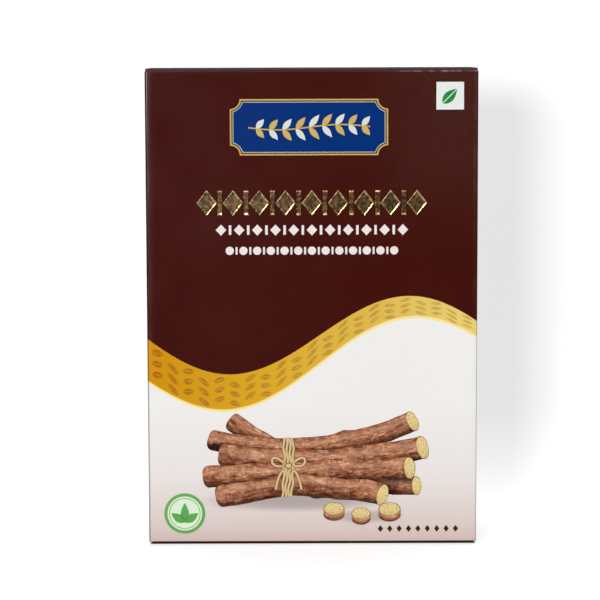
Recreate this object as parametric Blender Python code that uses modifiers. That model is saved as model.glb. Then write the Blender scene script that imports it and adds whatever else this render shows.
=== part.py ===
"""Upright folding carton of licorice root: paperboard box with a tuck lid, filled with cut sticks of dried root.

The box stands on z = 0 with its printed front towards -Y. Sizes are in metres.
"""

import math
import random

import bmesh
import bpy
from mathutils import Vector

# The closed box
WIDTH = 0.115
DEPTH = 0.038
HEIGHT = 0.1665
BOARD = 0.0005  # thickness of the paperboard
GAP = 0.0003  # air between plies, and beside whatever slides
BULGE = 0.0008  # how far the contents push out the front and the back panel
CORNER = 0.0007  # rounding of the upright folds
PANEL_CELLS = 10  # cells along and across a bulged panel

# The lid and its tuck flap
LID_FRONT = -DEPTH / 2 + BOARD + GAP  # outer face of the fold between them
LID_SETBACK = 0.0012  # from the front fold to the flat of the lid
LID_REAR_SETBACK = 0.0010  # from the rear fold to the flat of the lid
TUCK_SETBACK = 0.0008
TUCK_LENGTH = 0.016
TUCK_HALF_WIDTH = 0.0535
TUCK_ROUND = 0.008
TUCK_LEAN = math.radians(14)  # inwards, so that its free edge clears the front panel as the lid turns

# The flaps at the ends of the side panels
DUST_TOP = HEIGHT - BOARD - GAP
DUST_LENGTH = 0.028
DUST_FRONT = 0.0162  # how far forward the flap reaches at its fold
DUST_TIP_FRONT = 0.0105  # and at its tip: the taper keeps it clear of the tuck flap as it folds down
DUST_BACK = 0.0174
DUST_STRAIGHT = 0.003  # along the flap, before the taper begins
FLAP_ROUND = 0.004

# The glued base, three plies of flaps
BASE_PLY = BOARD + GAP
BASE_TOP = 3 * BASE_PLY

GLUE_FLAP = 0.012
GLUE_FLAP_SLOPE = 0.003

# The film bag
FILM = 0.0004
BAG_HALF_WIDTH = 0.0562
BAG_HALF_DEPTH = 0.0173
BAG_TOP = 0.131
BAG_CORNER = 0.006
BAG_WAVE = 0.0009

# The sticks of root
STICKS = 24
STICK_RADIUS = (0.0036, 0.0054)
STICK_LENGTH = (0.098, 0.122)
STICK_BEND = 0.0013
STICK_LEAN = 0.007
STICK_POINTS = 10
STICK_CLEARANCE = 0.0009
LEVELS = 7
SEED = 11

PRINT_BROWN = (66, 20, 14)
BOARD_GREY = (196, 190, 180)
BOARD_WHITE = (232, 230, 224)
FILM_CLEAR = (225, 228, 230)
BARK = ((132, 92, 58), (118, 80, 50), (146, 104, 66))


def clear_scene():
    for old in list(bpy.data.objects):
        bpy.data.objects.remove(old, do_unlink=True)


def new_collection(name):
    collection = bpy.data.collections.new(name)
    bpy.context.scene.collection.children.link(collection)
    return collection


def linear(colour):
    """A display colour of 0 to 255 as the linear one that a shader takes."""
    shares = [value / 255 for value in colour]
    return [s / 12.92 if s <= 0.04045 else ((s + 0.055) / 1.055) ** 2.4 for s in shares]


def finish(obj, colour, roughness, alpha=1.0):
    """Gives the object a material of its own."""
    material = bpy.data.materials.new(obj.name)
    material.use_nodes = True
    shader = material.node_tree.nodes["Principled BSDF"]
    shader.inputs["Base Color"].default_value = (*linear(colour), 1)
    shader.inputs["Roughness"].default_value = roughness
    shader.inputs["Metallic"].default_value = 0
    shader.inputs["Alpha"].default_value = alpha
    obj.data.materials.append(material)
    return obj


def place(name, data, location=(0, 0, 0), rotation=(0, 0, 0)):
    obj = bpy.data.objects.new(name, data)
    obj.location = location
    obj.rotation_euler = rotation
    carton.objects.link(obj)
    return obj


def rounded(corners, steps=4):
    """The outline through corners given as (x, y, radius), each corner turned by an arc."""
    outline = []
    for i, (x, y, radius) in enumerate(corners):
        here = Vector((x, y))
        before = (Vector(corners[i - 1][:2]) - here).normalized()
        after = (Vector(corners[(i + 1) % len(corners)][:2]) - here).normalized()
        half = before.angle(after) / 2
        if radius == 0:
            outline.append(here)
            continue
        centre = here + (before + after).normalized() * radius / math.sin(half)
        start = here + before * radius / math.tan(half) - centre
        end = here + after * radius / math.tan(half) - centre
        turn = start.angle_signed(end)
        for step in range(steps + 1):
            angle = -turn * step / steps
            spoke = Vector((
                start.x * math.cos(angle) - start.y * math.sin(angle),
                start.x * math.sin(angle) + start.y * math.cos(angle),
            ))
            outline.append(centre + spoke)
    return outline


def flat_board(name, corners, colour, location, rotation=(0, 0, 0)):
    """A flap or panel: a flat outline as thick as the board, lying half above and half below its own plane."""
    curve = bpy.data.curves.new(name, "CURVE")
    curve.dimensions = "2D"
    curve.fill_mode = "BOTH"
    curve.extrude = BOARD / 2
    outline = rounded(corners)
    spline = curve.splines.new("POLY")
    spline.points.add(len(outline) - 1)
    for point, spot in zip(spline.points, outline):
        point.co = (spot.x, spot.y, 0, 1)
    spline.use_cyclic_u = True
    return finish(place(name, curve, location, rotation), colour, 0.35)


def open_box(width, depth, low, high, corner, corner_steps, rows, columns):
    """A bmesh of an upright tube with rounded corners and a floor, cut into cells, its top open."""
    box = bmesh.new()
    bmesh.ops.create_cube(box, size=1.0)
    bmesh.ops.scale(box, vec=(width, depth, high - low), verts=box.verts)
    bmesh.ops.translate(box, vec=(0, 0, (high + low) / 2), verts=box.verts)
    upright = [edge for edge in box.edges if abs(edge.verts[0].co.z - edge.verts[1].co.z) > (high - low) / 2]
    bmesh.ops.bevel(
        box, geom=upright, offset=corner, segments=corner_steps, profile=0.5, affect="EDGES", clamp_overlap=True
    )
    for column in range(1, columns):
        x = width * (column / columns - 0.5)
        cut = box.verts[:] + box.edges[:] + box.faces[:]
        bmesh.ops.bisect_plane(box, geom=cut, plane_co=(x, 0, 0), plane_no=(1, 0, 0))
    for row in range(1, rows):
        z = low + (high - low) * row / rows
        cut = box.verts[:] + box.edges[:] + box.faces[:]
        bmesh.ops.bisect_plane(box, geom=cut, plane_co=(0, 0, z), plane_no=(0, 0, 1))
    lid = [face for face in box.faces if face.normal.z > 0.5]
    bmesh.ops.delete(box, geom=lid, context="FACES_ONLY")
    return box


def shell(name, box, thickness):
    """The object of an open surface given a thickness on its inner side."""
    mesh = bpy.data.meshes.new(name)
    box.to_mesh(mesh)
    box.free()
    obj = place(name, mesh)
    wall = obj.modifiers.new("Thickness", "SOLIDIFY")
    wall.thickness = thickness
    wall.offset = -1
    wall.use_even_offset = True
    return obj


def make_sleeve():
    """The four walls: board creased at the upright corners, front and back pushed out by the contents."""
    low = BASE_PLY
    side_top = DUST_TOP - BASE_PLY
    box = open_box(WIDTH, DEPTH, low, side_top, CORNER, 3, PANEL_CELLS, PANEL_CELLS)
    floor = [face for face in box.faces if face.normal.z < -0.5]
    bmesh.ops.delete(box, geom=floor, context="FACES_ONLY")
    for vert in box.verts:
        across = math.cos(math.pi * vert.co.x / WIDTH) ** 2
        side = math.copysign(1, vert.co.y)
        along = math.sin(math.pi * vert.co.z / HEIGHT)
        at_top = vert.co.z > side_top - GAP
        on_panel = abs(vert.co.x) < WIDTH / 2 - CORNER / 2 and abs(vert.co.y) > DEPTH / 2 - CORNER / 2
        vert.co.y += side * BULGE * across * along
        if at_top and on_panel:
            vert.co.z = HEIGHT - GAP if side < 0 else DUST_TOP
    finish(shell("sleeve", box, BOARD), PRINT_BROWN, 0.35)


def make_glue_flap():
    """The strip on the left side panel that is glued inside the back panel and closes the sleeve."""
    left = -WIDTH / 2 + BOARD + 1.3 * GAP
    low = BASE_TOP + GAP
    high = DUST_TOP - BASE_PLY - GAP
    corners = [
        (left, low, 0),
        (left + GLUE_FLAP, low + GLUE_FLAP_SLOPE, 0.0008),
        (left + GLUE_FLAP, high - GLUE_FLAP_SLOPE, 0.0008),
        (left, high, 0),
    ]
    ply = DEPTH / 2 - BOARD - GAP - BOARD / 2
    flat_board("glue_flap", corners, BOARD_GREY, (0, ply, 0), (math.pi / 2, 0, 0))


def make_base():
    """The glued base: the front panel's flap outside, the back panel's next, the side panels' flaps inside."""
    half_width = WIDTH / 2 - GAP
    half_depth = DEPTH / 2 - GAP
    outer = [
        (-half_width, -half_depth, 0.0008),
        (half_width, -half_depth, 0.0008),
        (half_width, half_depth, 0.0008),
        (-half_width, half_depth, 0.0008),
    ]
    flat_board("bottom_outer_flap", outer, PRINT_BROWN, (0, 0, BOARD / 2))
    half_width = WIDTH / 2 - BOARD - 1.3 * GAP
    half_depth = DEPTH / 2 - BOARD - 1.3 * GAP
    inner = [
        (-half_width, -half_depth, 0.002),
        (half_width, -half_depth, 0.002),
        (half_width, half_depth, 0.0005),
        (-half_width, half_depth, 0.0005),
    ]
    flat_board("bottom_inner_flap", inner, BOARD_GREY, (0, 0, BASE_PLY + BOARD / 2))
    for name, side in (("bottom_dust_flap_left", -1), ("bottom_dust_flap_right", 1)):
        dust = [
            (0, -half_depth, 0.0005),
            (DUST_LENGTH, -half_depth, FLAP_ROUND),
            (DUST_LENGTH, half_depth, FLAP_ROUND),
            (0, half_depth, 0.0005),
        ]
        turn = 0 if side < 0 else math.pi
        flat_board(name, dust, BOARD_GREY, (side * half_width, 0, 2 * BASE_PLY + BOARD / 2), (0, 0, turn))


def make_lid():
    """The lid, its origin on the fold at the back, and its tuck flap, its origin on the fold at the front."""
    half_width = WIDTH / 2 - GAP / 3
    span = DEPTH / 2 - LID_FRONT
    lid = [
        (-half_width, -span + LID_SETBACK, 0.0006),
        (half_width, -span + LID_SETBACK, 0.0006),
        (half_width, -LID_REAR_SETBACK, 0.0004),
        (-half_width, -LID_REAR_SETBACK, 0.0004),
    ]
    # Each outline is drawn with its outer face on the fold line, so its plane is half a board below the origin.
    hinge = bpy.data.objects.new("lid_fold", None)
    hinge.location = (0, DEPTH / 2, HEIGHT)
    carton.objects.link(hinge)
    panel = flat_board("lid", lid, PRINT_BROWN, (0, 0, -BOARD / 2))
    panel.parent = hinge
    fold = bpy.data.objects.new("tuck_fold", None)
    fold.location = (0, LID_FRONT, HEIGHT)
    fold.rotation_euler = (math.pi / 2 + TUCK_LEAN, 0, 0)
    carton.objects.link(fold)
    tuck = [
        (-TUCK_HALF_WIDTH, -TUCK_SETBACK, 0.0005),
        (-TUCK_HALF_WIDTH, -TUCK_LENGTH, TUCK_ROUND),
        (TUCK_HALF_WIDTH, -TUCK_LENGTH, TUCK_ROUND),
        (TUCK_HALF_WIDTH, -TUCK_SETBACK, 0.0005),
    ]
    flap = flat_board("tuck_flap", tuck, PRINT_BROWN, (0, 0, -BOARD / 2))
    flap.parent = fold


def make_dust_flaps():
    """The side panels' top flaps, which lie under the lid: tapered in front, to clear the tuck flap."""
    fold = WIDTH / 2 - BOARD - GAP
    setback = GAP
    for name, side in (("dust_flap_left", -1), ("dust_flap_right", 1)):
        corners = [
            (setback, -DUST_FRONT, 0.0005),
            (DUST_STRAIGHT, -DUST_FRONT, 0.001),
            (DUST_LENGTH, -DUST_TIP_FRONT, FLAP_ROUND),
            (DUST_LENGTH, DUST_BACK - 0.001, FLAP_ROUND),
            (setback, DUST_BACK, 0.0005),
        ]
        mirrored = [(-side * x, y, radius) for x, y, radius in corners]
        location = (side * fold, 0, DUST_TOP - BOARD / 2)
        flat_board(name, mirrored, BOARD_WHITE, location)


def make_pouch():
    """The clear film bag round the sticks, its mouth open and a little wavy."""
    low = BASE_TOP + GAP
    box = open_box(2 * BAG_HALF_WIDTH, 2 * BAG_HALF_DEPTH, low, BAG_TOP, BAG_CORNER, 4, 8, 8)
    for vert in box.verts:
        rise = max(0.0, (vert.co.z - 0.7 * BAG_TOP) / (0.3 * BAG_TOP))
        wave = 0.5 - 0.5 * math.cos(9 * math.pi * vert.co.x / BAG_HALF_WIDTH)
        vert.co.y -= math.copysign(BAG_WAVE * rise * wave, vert.co.y)
        if vert.co.z > BAG_TOP - GAP:
            vert.co.z -= BAG_WAVE * wave
    finish(shell("pouch", box, FILM), FILM_CLEAR, 0.1, 0.3)


class Stick:
    """One stick: where it stands, where it leans to, how it bends and how thick it is."""

    def __init__(self, draw, x, y):
        self.radius = draw.uniform(*STICK_RADIUS)
        self.length = draw.uniform(*STICK_LENGTH)
        self.foot = Vector((x, y))
        self.head = Vector((x + draw.uniform(-1, 1) * STICK_LEAN, y + draw.uniform(-1, 1) * STICK_LEAN / 3))
        turn = draw.uniform(0, 2 * math.pi)
        self.bend = Vector((math.cos(turn), math.sin(turn))) * draw.uniform(0.3, 1) * STICK_BEND
        self.wave = draw.uniform(0, 2 * math.pi)

    def centre(self, share):
        return self.foot.lerp(self.head, share) + self.bend * math.sin(math.pi * share)

    def thickness(self, share):
        knots = 0.05 * math.sin(9 * share + self.wave) + 0.03 * math.sin(23 * share + 2 * self.wave)
        return self.radius * (1.03 - 0.12 * share + knots)


def push_apart(sticks):
    """Moves heads and feet until no two sticks touch at any level and all stand inside the bag."""
    tallest = STICK_LENGTH[1]
    for _ in range(600):
        for level in range(LEVELS + 1):
            height = tallest * level / LEVELS
            standing = [s for s in sticks if s.length > height - tallest / LEVELS]
            for i, one in enumerate(standing):
                share = min(1, height / one.length)
                for other in standing[i + 1 :]:
                    other_share = min(1, height / other.length)
                    apart = one.centre(share) - other.centre(other_share)
                    need = 1.12 * (one.radius + other.radius) + STICK_CLEARANCE
                    if apart.length >= need:
                        continue
                    shift = apart.normalized() * (need - apart.length) / 2
                    one.head += shift * share
                    one.foot += shift * (1 - share)
                    other.head -= shift * other_share
                    other.foot -= shift * (1 - other_share)
        for stick in sticks:
            room = 1.12 * stick.radius + STICK_BEND + FILM + BAG_WAVE
            for end in (stick.head, stick.foot):
                end.x = max(room - BAG_HALF_WIDTH, min(BAG_HALF_WIDTH - room, end.x))
                end.y = max(room - BAG_HALF_DEPTH, min(BAG_HALF_DEPTH - room, end.y))


def make_roots():
    """The sticks, standing on the floor of the bag and leaning on each other a little."""
    draw = random.Random(SEED)
    rows = 3
    columns = STICKS // rows
    sticks = []
    for index in range(STICKS):
        row, column = divmod(index, columns)
        x = ((column + 0.5 + 0.25 * (row - 1)) / columns - 0.5) * 1.8 * BAG_HALF_WIDTH
        y = ((row + 0.5) / rows - 0.5) * 1.6 * BAG_HALF_DEPTH
        sticks.append(Stick(draw, x + draw.uniform(-1, 1) * 0.002, y + draw.uniform(-1, 1) * 0.001))
    push_apart(sticks)
    floor = BASE_TOP + GAP + FILM + GAP
    for number, stick in enumerate(sticks, 1):
        name = f"root_{number:02d}"
        curve = bpy.data.curves.new(name, "CURVE")
        curve.dimensions = "3D"
        curve.bevel_depth = stick.radius
        curve.bevel_resolution = 3
        curve.use_fill_caps = True
        spline = curve.splines.new("POLY")
        spline.points.add(STICK_POINTS - 1)
        for i, point in enumerate(spline.points):
            share = i / (STICK_POINTS - 1)
            spot = stick.centre(share)
            point.co = (spot.x, spot.y, floor + 0.0004 + stick.length * share, 1)
            point.radius = stick.thickness(share) / stick.radius
        finish(place(name, curve), BARK[number % len(BARK)], 0.8)


clear_scene()
carton = new_collection("licorice_root_carton")
make_sleeve()
make_glue_flap()
make_base()
make_lid()
make_dust_flaps()
make_pouch()
make_roots()
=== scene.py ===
import math

import bmesh
import bpy
import numpy as np
from mathutils import Matrix, Vector, noise


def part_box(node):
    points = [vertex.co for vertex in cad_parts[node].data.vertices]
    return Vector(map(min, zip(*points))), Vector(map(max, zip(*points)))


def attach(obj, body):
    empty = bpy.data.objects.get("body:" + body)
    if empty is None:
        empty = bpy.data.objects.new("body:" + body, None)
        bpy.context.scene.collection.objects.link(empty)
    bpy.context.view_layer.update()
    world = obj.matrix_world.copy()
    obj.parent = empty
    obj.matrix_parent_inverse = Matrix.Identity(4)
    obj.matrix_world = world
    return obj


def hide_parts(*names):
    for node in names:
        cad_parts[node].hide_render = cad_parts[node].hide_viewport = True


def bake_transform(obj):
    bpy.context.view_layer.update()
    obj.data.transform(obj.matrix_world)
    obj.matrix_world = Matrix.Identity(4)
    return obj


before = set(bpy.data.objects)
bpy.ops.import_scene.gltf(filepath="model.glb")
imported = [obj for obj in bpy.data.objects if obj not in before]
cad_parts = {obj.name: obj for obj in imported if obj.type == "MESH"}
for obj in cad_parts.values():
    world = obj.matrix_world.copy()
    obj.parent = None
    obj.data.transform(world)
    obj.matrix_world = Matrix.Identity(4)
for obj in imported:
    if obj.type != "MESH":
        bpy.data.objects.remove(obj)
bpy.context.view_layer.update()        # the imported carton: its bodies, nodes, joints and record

# The studio, which is no part of the carton: a sweep of white paper under a wide soft light, a soft key light
# low at the left behind the camera, and a long lens level with the lid. The sweep and the disc under it glow
# faintly, so that the floor stays white and the carton's base isn't black. Gloss mirrors the dark room.
MM = 0.001
LENS_MM = 136.6
CAMERA_PLACE = (-0.0042, -0.8059, 0.173)
CAMERA_TILT = 6.285
CAMERA_ROLL = 0.18
KEY_TURN = 20
KEY_HEIGHT = 7
KEY_SIZE = 16
KEY_STRENGTH = 2.32
TENT = 1.15
TENT_HEIGHTS = (0.2, 0.75)
BACK_LIGHT = 1.0
BACK_LIGHT_HEIGHTS = (0.26, 0.45)
DARK_ROOM = 0.02
PAPER_WHITE = 1.05
TABLE_RADIUS = 1.5
TABLE_LEVEL = -0.0006
TABLE_TONE = 0.04
TABLE_GLOW = 0.2
SWEEP_LEVEL = -0.0002
SWEEP_START = 0.045
SWEEP_ROUND = 0.035
SWEEP_TONE = 0.43
SWEEP_GLOW = 0.62


class Flow:
    """A socket in a node tree. Arithmetic on it adds Math nodes, and node() adds a node of any other kind."""

    def __init__(self, tree, socket=None):
        self.tree = tree
        self.socket = socket

    def node(self, kind, settings=None, inputs=None, out=0):
        made = self.tree.nodes.new(kind)
        for name, value in (settings or {}).items():
            if name == "stops":
                ramp = made.color_ramp
                while len(ramp.elements) < len(value):
                    ramp.elements.new(0.5)
                for stop, (place, colour) in zip(ramp.elements, value):
                    stop.position = place
                    stop.color = colour
            else:
                setattr(made, name, value)
        for name, value in (inputs or {}).items():
            if isinstance(value, Flow):
                self.tree.links.new(value.socket, made.inputs[name])
            else:
                made.inputs[name].default_value = value
        return Flow(self.tree, made.outputs[out])

    def feed(self, node, name):
        self.tree.links.new(self.socket, node.inputs[name])

    def maths(self, operation, *values):
        return self.node("ShaderNodeMath", {"operation": operation}, dict(enumerate(values)))

    def parts(self):
        split = self.tree.nodes.new("ShaderNodeSeparateXYZ")
        self.feed(split, 0)
        return [Flow(self.tree, socket) for socket in split.outputs]

    def __add__(self, other):
        return self.maths("ADD", self, other)

    def __sub__(self, other):
        return self.maths("SUBTRACT", self, other)

    def __rsub__(self, other):
        return self.maths("SUBTRACT", other, self)

    def __mul__(self, other):
        return self.maths("MULTIPLY", self, other)

    def __truediv__(self, other):
        return self.maths("DIVIDE", self, other)

    def __pow__(self, other):
        return self.maths("POWER", self, other)

    def __abs__(self):
        return self.maths("ABSOLUTE", self)

    __radd__ = __add__
    __rmul__ = __mul__

    def rise(self, low, high):
        """0 below low, 1 above high, and smooth between. With low above high it falls instead."""
        inputs = {"Value": self, "From Min": low, "From Max": high}
        return self.node("ShaderNodeMapRange", {"interpolation_type": "SMOOTHSTEP"}, inputs)

    def mix(self, first, second):
        """first where this is 0, and second where it is 1."""
        return self.node("ShaderNodeMix", {"data_type": "RGBA"}, {0: self, 6: first, 7: second}, out=2)

    def ramp(self, *stops):
        """The colour that this value has between stops, each a place and a print colour."""
        coloured = [(place, tone(*colour)) for place, colour in stops]
        return self.node("ShaderNodeValToRGB", {"stops": coloured}, {0: self})


def tone(red, green, blue):
    """A print colour, from 0 to 255 a channel, in the scene's linear colour."""
    shares = [value / 255 for value in (red, green, blue)]
    return tuple(s / 12.92 if s < 0.04 else ((s + 0.055) / 1.055) ** 2.4 for s in shares) + (1.0,)


def keep(name, mesh):
    made = bpy.data.objects.new(name, mesh)
    bpy.context.scene.collection.objects.link(made)
    return made


def start_finish(name, **fixed):
    """A material with its fixed sockets set, a Flow to build on, and a function that joins what varies."""
    made = bpy.data.materials.new(name)
    made.use_nodes = True
    shader = made.node_tree.nodes["Principled BSDF"]
    for socket, value in fixed.items():
        shader.inputs[socket.replace("_", " ")].default_value = value
    return made, Flow(made.node_tree), lambda flow, socket: flow.feed(shader, socket)


scene = bpy.context.scene
scene.view_settings.view_transform = "Standard"
camera_data = bpy.data.cameras.new("camera")
camera_data.lens = LENS_MM
camera_data.sensor_width = 36
camera = keep("camera", camera_data)
tilt = Matrix.Rotation(math.radians(90 - CAMERA_TILT), 4, "X")
roll = Matrix.Rotation(-math.radians(CAMERA_ROLL), 4, "Z")
camera.matrix_world = Matrix.Translation(CAMERA_PLACE) @ tilt @ roll
scene.camera = camera

key = bpy.data.lights.new("key", "SUN")
key.energy = KEY_STRENGTH
key.angle = math.radians(KEY_SIZE)
sun = keep("key", key)
towards = Vector((math.sin(math.radians(KEY_TURN)), math.cos(math.radians(KEY_TURN)), 0))
towards.z = -math.tan(math.radians(KEY_HEIGHT))
sun.rotation_mode = "QUATERNION"
sun.rotation_quaternion = towards.to_track_quat("-Z", "Y")

world = bpy.data.worlds.new("tent")
world.use_nodes = True
scene.world = world
sky = Flow(world.node_tree)
seen = sky.node("ShaderNodeLightPath", out="Is Camera Ray")
_, depth, height = sky.node("ShaderNodeTexCoord", out="Generated").parts()
level = height.rise(*TENT_HEIGHTS) * TENT + DARK_ROOM
level = level + depth.rise(0.1, 0.6) * height.rise(*BACK_LIGHT_HEIGHTS) * BACK_LIGHT
level = level + seen * (PAPER_WHITE - level)
background = world.node_tree.nodes["Background"]
background.inputs["Color"].default_value = (1, 1, 1, 1)
level.feed(background, "Strength")

table_mesh = bpy.data.meshes.new("table")
disc = bmesh.new()
bmesh.ops.create_circle(disc, cap_ends=True, segments=96, radius=TABLE_RADIUS)
disc.to_mesh(table_mesh)
disc.free()
table = keep("table", table_mesh)
table.location.z = TABLE_LEVEL
table.visible_glossy = False
table.visible_camera = False
sweep_mesh = bpy.data.meshes.new("sweep")
sweep_line = [(-TABLE_RADIUS, 0.0)]
for step in range(25):
    bend = math.radians(90 * step / 24)
    sweep_line.append((SWEEP_START + SWEEP_ROUND * math.sin(bend), SWEEP_ROUND * (1 - math.cos(bend))))
sweep_line.append((SWEEP_START + SWEEP_ROUND, TABLE_RADIUS))
sweep_points = [(x, y, z) for y, z in sweep_line for x in (-TABLE_RADIUS, TABLE_RADIUS)]
sweep_faces = [(i, i + 1, i + 3, i + 2) for i in range(0, len(sweep_points) - 2, 2)]
sweep_mesh.from_pydata(sweep_points, [], sweep_faces)
sweep_mesh.shade_smooth()
sweep = keep("sweep", sweep_mesh)
sweep.location.z = SWEEP_LEVEL
sweep.visible_glossy = False
sweep.visible_diffuse = False
sweep.visible_shadow = False
for mesh, albedo, glow in ((table_mesh, TABLE_TONE, TABLE_GLOW), (sweep_mesh, SWEEP_TONE, SWEEP_GLOW)):
    lit, flow, join = start_finish(
        mesh.name, Base_Color=(albedo, albedo, albedo, 1), Roughness=1.0, Specular_IOR_Level=0.0,
        Emission_Color=(1, 1, 1, 1), Emission_Strength=glow)
    mesh.materials.append(lit)
join(1 - flow.node("ShaderNodeNewGeometry", out="Backfacing"), "Alpha")

# The sleeve's four panels. The real sleeve is one sheet of folding boxboard, printed and varnished outside
# and grey-white inside, creased at the corners and glued at the left rear one. Front and back swell a little.
BOARD = 0.5
BULGE = 0.8
CORNER = 0.7
SEAM_CORNER = 0.9
SEAM_GAP = 0.3
GLUE = 0.1
FOOT = 1.0
FOLD = 1.0
RIBBON_LEVEL = 69
RIBBON_SWING = 15
RIBBON_HALF_WAVE = 65
RIBBON_SHIFT = 2.5
RIBBON_MIDDLE_HALF = 5.1
RIBBON_TAPER = 0.042
FRONT_TOP = 165.6
SHADOWS = ((-6, 15.6, 37, 4.6, 0.5), (18, 9.8, 15, 2.8, 0.36))


def span(node):
    """The lowest and highest corner of a CAD node, in millimetres."""
    low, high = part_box(node)
    return np.array(low) / MM, np.array(high) / MM


sleeve_low, sleeve_high = span("sleeve")
lid_low, lid_high = span("lid")
WIDE = sleeve_high[0]
DEEP = sleeve_high[1] - BULGE
TALL = lid_high[2]


def swell(x, z):
    return BULGE * np.cos(math.pi * x / (2 * WIDE)) ** 2 * np.sin(math.pi * z / TALL)


def arc(across, up, radius, first, last, steps=6):
    """Points on a fold's arc, from one angle to another in degrees."""
    turn = np.radians(np.linspace(first, last, steps + 1))
    return np.stack([across + radius * np.cos(turn), up + radius * np.sin(turn)], axis=1)


def in_mm(flow):
    """Object coordinates in millimetres, as a vector."""
    place = flow.node("ShaderNodeTexCoord", out="Object")
    return flow.node("ShaderNodeVectorMath", {"operation": "SCALE"}, {0: place, "Scale": 1 / MM})


def stretched(vector, x, y, z):
    return vector.node("ShaderNodeVectorMath", {"operation": "MULTIPLY"}, {0: vector, 1: (x, y, z)})


def grain(vector, scale, detail=3, roughness=0.5):
    inputs = {"Vector": vector, "Scale": scale, "Detail": detail, "Roughness": roughness}
    return vector.node("ShaderNodeTexNoise", None, inputs)


def bump(height, strength, distance):
    """distance is in millimetres."""
    inputs = {"Strength": strength, "Distance": distance * MM, "Height": height}
    return height.node("ShaderNodeBump", None, inputs)


def ribbon_middle(x):
    """The level of the ribbon's middle at each place across."""
    return x.maths("SINE", (x - RIBBON_SHIFT) * (math.pi / RIBBON_HALF_WAVE)) * RIBBON_SWING + RIBBON_LEVEL


def ribbon_half(x):
    return RIBBON_MIDDLE_HALF - x * RIBBON_TAPER


def print_finish():
    """Gloss varnish over a maroon field, a gold ribbon and a pale field that turns pink near the foot."""
    made, flow, join = start_finish("printed_board", IOR=1.5)
    place = in_mm(flow)
    x, y, z = place.parts()
    over = z - ribbon_middle(x)
    half = ribbon_half(x)
    cloudy = grain(place, 0.05, 2)
    maroon = cloudy.mix(tone(60, 13, 8), tone(68, 18, 12))
    pale = (z / TALL).ramp((0.0, (206, 182, 176)), (0.04, (219, 202, 197)), (0.15, (232, 226, 223)),
                           (0.3, (238, 236, 232)), (1.0, (240, 239, 235)))
    front = y.rise(-10, -12)
    for middle_x, middle_z, half_wide, half_tall, strength in SHADOWS:
        beside = ((x - middle_x) / half_wide) ** 2 + ((z - middle_z) / half_tall) ** 2
        pale = (beside.rise(1.0, 0.0) * front * strength).mix(pale, tone(104, 84, 80))
    colour = over.rise(0.2, -0.2).mix(maroon, pale)
    gold = (x / (2 * WIDE) + 0.5).ramp((0.0, (206, 142, 10)), (0.35, (216, 166, 30)), (0.7, (222, 184, 78)),
                                       (1.0, (232, 208, 118)))
    inside = (half - abs(over)).rise(-0.12, 0.12)
    colour = inside.mix(colour, gold)
    edge = (0.45 - abs(over + half + 0.1)).rise(-0.2, 0.2)
    colour = edge.mix(colour, tone(248, 226, 150))
    # Painted shade: the front's lowest millimetre, round the foot fold, is darkened to a dark brown where the
    # carton meets the floor.
    colour = (z.rise(1.3, 0.9) * y.rise(-16, -17)).mix(colour, tone(48, 24, 20))
    specks = grain(place, 1.9, 2).rise(0.745, 0.78) * 0.25
    colour = specks.mix(colour, tone(170, 130, 122))
    # Painted sheen and dust scuffs: a faint mottled lightening over the front's upper right.
    scuff_and_sheen = front * x.rise(5, 50) * z.rise(95, 150) * grain(place, 2.2, 4).rise(0.2, 0.8) * 0.065
    colour = scuff_and_sheen.mix(colour, tone(150, 140, 128))
    # Paler along the edges of front and back: on the rounded side creases a faint band, partly rubbed wear
    # and partly a painted highlight; a paler mottled line down the right edge; and along the front's top edge
    # a faint painted highlight all along, with rubbed wear towards the right.
    rubbed = grain(stretched(place, 1, 1, 0.25), 0.5).rise(0.4, 0.7)
    corner = abs(y).rise(DEEP - 1.3, DEEP - 0.6) * z.rise(FRONT_TOP + 0.1, FRONT_TOP)
    fold = (0.7 - abs(abs(x) - (WIDE - 1.1))).rise(0.0, 0.5) * (rubbed * 0.024 + 0.006)
    paler_right_edge = x.rise(WIDE - 0.35, WIDE - 0.1) * (rubbed * 0.14 + 0.08)
    brow = z.rise(FRONT_TOP - 0.5, FRONT_TOP - 0.15) * front * (x.rise(18, 52) * rubbed * 0.5 + 0.04)
    colour = ((fold + paler_right_edge + brow) * corner).mix(colour, tone(214, 186, 182))
    # Painted shade: the tuck's fold, where it shows above the front's top edge, and a thin line down the left
    # crease are darkened almost to black, and the fold is also made rougher.
    turned_over = z.rise(FRONT_TOP, FRONT_TOP + 0.1) * y.rise(-17.2, -17.6)
    crease = turned_over + x.rise(0.7 - WIDE, 0.3 - WIDE) * corner
    colour = (crease * 0.62).mix(colour, tone(18, 3, 3))
    join(colour, "Base Color")
    join(cloudy * 0.05 + 0.11 + turned_over * 0.5, "Roughness")
    join(bump(grain(place, 0.8, 3), 0.08, 0.05), "Normal")
    return made


def plain_finish(name, light, dark):
    """Uncoated board: short fibres, faint specks and no gloss."""
    made, flow, join = start_finish(name, Roughness=0.88)
    place = in_mm(flow)
    fibres = grain(stretched(place, 1, 1, 0.35), 2.2, 4, 0.6)
    colour = fibres.mix(tone(*dark), tone(*light))
    specks = grain(place, 3.1, 1).rise(0.72, 0.78) * 0.5
    join(specks.mix(colour, tone(150, 138, 122)), "Base Color")
    join(bump(fibres, 0.25, 0.06), "Normal")
    return made


printed_board = print_finish()
inside_board = plain_finish("inside_board", (216, 212, 204), (196, 191, 182))
cut_board = plain_finish("cut_board", (226, 220, 208), (198, 190, 176))


def smooth_off(made, angle=40):
    made.data.shade_smooth()
    made.data.set_sharp_from_angle(angle=math.radians(angle))
    return made


def piece(name, points, faces, materials, kinds=None):
    """An object from points in millimetres. kinds says which of its materials each face has."""
    mesh = bpy.data.meshes.new(name)
    mesh.from_pydata((np.array(points) * MM).tolist(), [], faces)
    for material in materials:
        mesh.materials.append(material)
    if kinds:
        mesh.polygons.foreach_set("material_index", kinds)
    return keep(name, mesh)


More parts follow.
